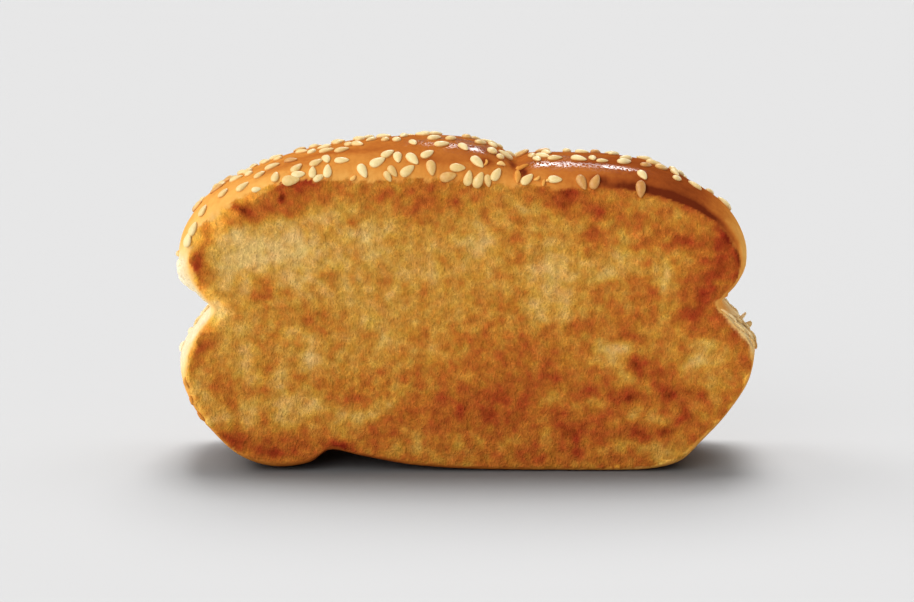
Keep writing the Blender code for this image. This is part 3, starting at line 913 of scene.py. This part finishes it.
# Painted highlights: how much the glints on flecks and fibres brighten the crumb.
GLINT_BRIGHTNESS = 0.26
FIBRE_GLINT_BRIGHTNESS = 0.24
HUE_DRIFT = 0.04
BUMP_HEIGHT = 0.42
BLISTER_HEIGHT = 2.0    # against the crumb's grain
COAT_ROUGHNESS = 0.15
DULLEST = 0.82          # roughness of the crumb
CRUST_POLISH = 0.34     # how much less rough the crust is
CRUST_FLATNESS = 0.88   # share of the crumb's fine relief that the crust lacks
ROUGHNESS_SPREAD = 0.16
SEED_TONE_SPREAD = 0.35
# Painted shade: a seed darkens towards its foot, where it meets the crust.
SEED_FOOT_SHADE = 0.34   # how much darker a seed is where it meets the crust

# Colours as a screen shows them, along a level from 0 to 1.
CRUMB_COLORS = (
    (0.00, (220, 180, 108)), (0.14, (214, 166, 88)), (0.30, (204, 149, 64)),
    (0.43, (195, 131, 50)), (0.56, (186, 109, 40)), (0.70, (175, 90, 35)),
    (0.82, (164, 72, 30)), (0.92, (152, 61, 26)), (1.00, (120, 41, 18)),
)
AMBER_CRUMB = (
    (0.00, (255, 216, 130)), (0.25, (250, 188, 84)), (0.45, (236, 158, 58)),
    (0.65, (208, 118, 42)), (0.85, (166, 72, 29)), (1.00, (112, 40, 18)),
)
CRUST_COLORS = (
    (0.00, (252, 236, 200)), (0.18, (249, 211, 140)), (0.35, (240, 178, 92)),
    (0.50, (218, 144, 64)), (0.65, (190, 109, 44)), (0.80, (156, 76, 31)), (1.00, (104, 40, 18)),
)
TORN_COLORS = (
    (0.00, (253, 241, 210)), (0.10, (252, 234, 194)), (0.30, (236, 203, 140)),
    (0.50, (200, 146, 76)), (1.00, (140, 88, 44)),
)
SEED_COLORS = (
    (0.0, (242, 218, 158)), (0.3, (232, 196, 124)), (0.6, (216, 162, 86)), (1.0, (186, 118, 54)),
)


def crumb_color(tree, grain, speckle):
    """Colour of the toasted crumb, amber by the crust, with painted highlights as glints on flecks
    and fibres, and painted light and shade on its fine relief beside its own mottling.
    """
    patch = fine_noise(tree, PATCH_SIZE, detail=4.0, apart=0.3)
    # Painted highlights: glints where crumb flecks and fibres catch the light.
    painted_glints = fine_noise(tree, GLINT_SIZE, detail=3.0, stretch_z=1.3, apart=2.3)
    painted_glints = step_up(tree, painted_glints, 0.54, 0.80)
    fibre_glints = calculate(
        tree, "SUBTRACT", fine_noise(tree, FIBRE_GLINT_SIZE, detail=1.0, apart=3.1), 0.5)
    fibre_glints = step_up(tree, calculate(tree, "ABSOLUTE", fibre_glints, 0.0), 0.045, 0.0)
    fibre_glints = calculate(tree, "MULTIPLY", fibre_glints, step_up(tree, patch, 0.62, 0.38))
    toasting = weigh(tree, vertex_value(tree, "toasting"), speckle, SPECKLE_TOASTING)
    toasting = weigh(tree, toasting, patch, PATCH_TOASTING)
    color = mix_color(tree, vertex_value(tree, "amber"),
                      color_ramp(tree, toasting, CRUMB_COLORS),
                      color_ramp(tree, toasting, AMBER_CRUMB))
    hue = weigh(tree, 0.5, fine_noise(tree, HUE_SIZE, detail=1.0, apart=0.7), HUE_DRIFT)
    # Painted light and shade of the fine relief, beside the crumb's own mottling.
    value = weigh(tree, CRUMB_BRIGHTNESS, grain, GRAIN_TONE_AND_SHADE)
    value = weigh(tree, value, speckle, SPECKLE_TONE_AND_SHADE)
    for bright, strength in ((painted_glints, GLINT_BRIGHTNESS), (fibre_glints, FIBRE_GLINT_BRIGHTNESS)):
        value = calculate(tree, "ADD", value, calculate(tree, "MULTIPLY", bright, strength))
    return add_node(tree, "ShaderNodeHueSaturation", {
        "Color": color, "Hue": hue, "Value": value}).outputs["Color"]


def bread_material():
    """Toasted crumb on the cut faces, and baked crust round them."""
    material = bpy.data.materials.new("toasted_bread")
    material.use_nodes = True
    tree = material.node_tree
    shader = tree.nodes["Principled BSDF"]
    shader.inputs["Specular IOR Level"].default_value = 0.0
    shader.inputs["Coat Roughness"].default_value = COAT_ROUGHNESS
    crust = vertex_value(tree, "crust")
    ripped = vertex_value(tree, "torn")
    glossy = vertex_value(tree, "shine")
    grain = fine_noise(tree, GRAIN_SIZE, detail=2.0, stretch_z=1.4)
    speckle = fine_noise(tree, SPECKLE_SIZE, detail=3.0, stretch_z=1.2)
    pebbles = fine_noise(tree, PEBBLE_SIZE, detail=2.0, apart=1.1)

    baking = weigh(tree, vertex_value(tree, "baking"), speckle, SPECKLE_BAKING)
    crust_color = mix_color(tree, ripped, color_ramp(tree, baking, CRUST_COLORS),
                            color_ramp(tree, baking, TORN_COLORS))
    color = mix_color(tree, crust, crumb_color(tree, grain, speckle), crust_color)
    tree.links.new(color, shader.inputs["Base Color"])

    baked = calculate(tree, "MULTIPLY", crust, calculate(tree, "SUBTRACT", 1.0, ripped))
    polish = calculate(tree, "MULTIPLY", baked, CRUST_POLISH)
    dull = calculate(tree, "SUBTRACT", DULLEST, polish)
    tree.links.new(weigh(tree, dull, grain, ROUGHNESS_SPREAD), shader.inputs["Roughness"])
    coat = calculate(tree, "MULTIPLY", calculate(tree, "MULTIPLY", glossy, baked),
                     step_up(tree, pebbles, 0.42, 0.56))
    tree.links.new(coat, shader.inputs["Coat Weight"])

    rough = calculate(tree, "SUBTRACT", 1.0, calculate(tree, "MULTIPLY", baked, CRUST_FLATNESS))
    crumbs = calculate(tree, "SUBTRACT", calculate(tree, "ADD", grain, speckle), 1.0)
    height = calculate(tree, "MULTIPLY", crumbs, rough)
    blisters = calculate(
        tree, "MULTIPLY", calculate(tree, "SUBTRACT", pebbles, 0.5), glossy)
    blisters = calculate(tree, "MULTIPLY", blisters, BLISTER_HEIGHT)
    height = calculate(tree, "ADD", height, blisters)
    bump = add_node(tree, "ShaderNodeBump", {
        "Strength": 1.0, "Distance": BUMP_HEIGHT * MM, "Height": height})
    tree.links.new(bump.outputs["Normal"], shader.inputs["Normal"])
    return material


def sesame_material():
    """Hulled sesame seed: cream, slightly waxy, a few toasted, with painted shade at its foot."""
    material = bpy.data.materials.new("sesame")
    material.use_nodes = True
    tree = material.node_tree
    shader = tree.nodes["Principled BSDF"]
    grain = fine_noise(tree, 0.7, detail=2.0)
    tone = weigh(tree, vertex_value(tree, "tone"), grain, SEED_TONE_SPREAD)
    # Painted shade darkens each seed towards its foot.
    foot = calculate(tree, "MULTIPLY", vertex_value(tree, "foot"), SEED_FOOT_SHADE)
    tone = calculate(tree, "ADD", tone, foot)
    tree.links.new(color_ramp(tree, tone, SEED_COLORS), shader.inputs["Base Color"])
    base_roughness = calculate(tree, "MULTIPLY", grain, 0.2)
    tree.links.new(calculate(tree, "ADD", base_roughness, 0.35), shader.inputs["Roughness"])
    bump = add_node(tree, "ShaderNodeBump", {
        "Strength": 0.4, "Distance": 0.1 * MM, "Height": grain})
    tree.links.new(bump.outputs["Normal"], shader.inputs["Normal"])
    return material


# ---------------------------- the studio
CAMERA_PLACE = (-2.1, -552.5, 132.3)
CAMERA_TILT = 10.0      # degrees below the horizon
CAMERA_LENS = 100.0
SURROUND_SEEN = 0.79    # level of the pale surround as the camera sees it
SURROUND_LIGHT = 0.20   # and as a light
FLOOR_WIDTH = 9000.0
FLOOR_COLOR = 0.15
# Soft lamps: azimuth seen from above, counted from the camera's side towards the right,
# height above the horizon, strength, how wide the light is, and what it falls on.
LAMPS = (
    ("floor_top", (0.0, 90.0), 1.0, 100.0, "floor"),
    ("floor_front", (-35.0, 24.0), 2.4, 60.0, "floor"),
    ("floor_high", (180.0, 77.0), 6.1, 24.0, "floor"),
    ("floor_low", (180.0, 54.0), 5.1, 34.0, "floor"),
    ("floor_left", (-120.0, 46.0), 3.4, 40.0, "floor"),
    ("floor_right", (120.0, 62.0), 1.8, 40.0, "floor"),
    ("key", (-150.0, 67.0), 0.95, 50.0, "slice"),
    ("sparkle", (174.0, 36.0), 0.75, 16.0, "slice"),
    ("front", (-25.0, 12.0), 1.3, 30.0, "slice"),
    ("upper_left", (-48.0, 40.0), 1.1, 12.0, "slice"),
    ("left_rim", (-90.0, 20.0), 0.8, 40.0, "slice"),
    ("right_fill", (95.0, 18.0), 0.7, 40.0, "slice"),
    ("back_fill", (150.0, 12.0), 0.4, 40.0, "slice"),
)


def studio_floor():
    """Lay a plain pale floor that runs to the horizon."""
    floor = bmesh.new()
    bmesh.ops.create_grid(floor, x_segments=2, y_segments=2, size=FLOOR_WIDTH * MM / 2)
    mesh = bpy.data.meshes.new("floor")
    floor.to_mesh(mesh)
    floor.free()
    material = bpy.data.materials.new("pale_floor")
    material.use_nodes = True
    shader = material.node_tree.nodes["Principled BSDF"]
    shader.inputs["Base Color"].default_value = (FLOOR_COLOR, FLOOR_COLOR, FLOOR_COLOR, 1)
    shader.inputs["Roughness"].default_value = 1.0
    shader.inputs["Specular IOR Level"].default_value = 0.0
    mesh.materials.append(material)
    piece = bpy.data.objects.new("floor", mesh)
    bpy.context.scene.collection.objects.link(piece)
    return piece


def studio_surround():
    """Put a pale surround behind the slice, which lights it less than it shows."""
    world = bpy.data.worlds.new("pale_surround")
    world.use_nodes = True
    tree = world.node_tree
    seen = add_node(tree, "ShaderNodeLightPath", {}).outputs["Is Camera Ray"]
    level = add_node(tree, "ShaderNodeMapRange", {
        "Value": seen, "To Min": SURROUND_LIGHT, "To Max": SURROUND_SEEN})
    tree.links.new(level.outputs["Result"], tree.nodes["Background"].inputs["Strength"])
    tree.nodes["Background"].inputs["Color"].default_value = (1.0, 1.0, 1.0, 1.0)
    bpy.context.scene.world = world


def studio_lamps(lit):
    """Light the floor and the slice, each with its own wide, soft lamps."""
    for name, (azimuth, height), strength, spread, target in LAMPS:
        lamp = bpy.data.lights.new(name, "SUN")
        lamp.energy = strength
        lamp.angle = math.radians(spread)
        holder = bpy.data.objects.new(name, lamp)
        bpy.context.scene.collection.objects.link(holder)
        holder.light_linking.receiver_collection = lit[target]
        side = math.radians(azimuth)
        up = math.radians(height)
        towards = Vector((
            math.sin(side) * math.cos(up), -math.cos(side) * math.cos(up), math.sin(up)))
        holder.rotation_euler = towards.to_track_quat("Z", "Y").to_euler()


def group(name, pieces):
    """Gather pieces that the same lamps light."""
    made = bpy.data.collections.new(name)
    for piece in pieces:
        made.objects.link(piece)
    return made


def studio_camera():
    """Look at the slice from where the photograph shows it."""
    lens = bpy.data.cameras.new("camera")
    lens.lens = CAMERA_LENS
    lens.clip_end = 20.0
    camera = bpy.data.objects.new("camera", lens)
    camera.location = Vector(CAMERA_PLACE) * MM
    camera.rotation_euler = (math.radians(90.0 - CAMERA_TILT), 0.0, 0.0)
    bpy.context.scene.collection.objects.link(camera)
    bpy.context.scene.camera = camera
    bpy.context.scene.view_settings.view_transform = "Standard"


def main():
    """Build the studio and the slice."""
    studio_camera()
    studio_surround()
    floor = studio_floor()
    made = [bread_slice(), crust_shreds(), sesame_seeds()]
    shift = shift_to_solid(np.concatenate([points for _, points in made]))
    for mesh, points in made:
        set_in_place(mesh, points, shift)
    crumb = bread_material()
    bread = finish_piece("bread_slice", made[0][0], crumb)
    shreds = finish_piece("crust_shreds", made[1][0], crumb)
    seeds = finish_piece("sesame_seeds", made[2][0], sesame_material())
    studio_lamps({"floor": group("lit_floor", [floor]),
                  "slice": group("lit_slice", [bread, shreds, seeds])})


main()
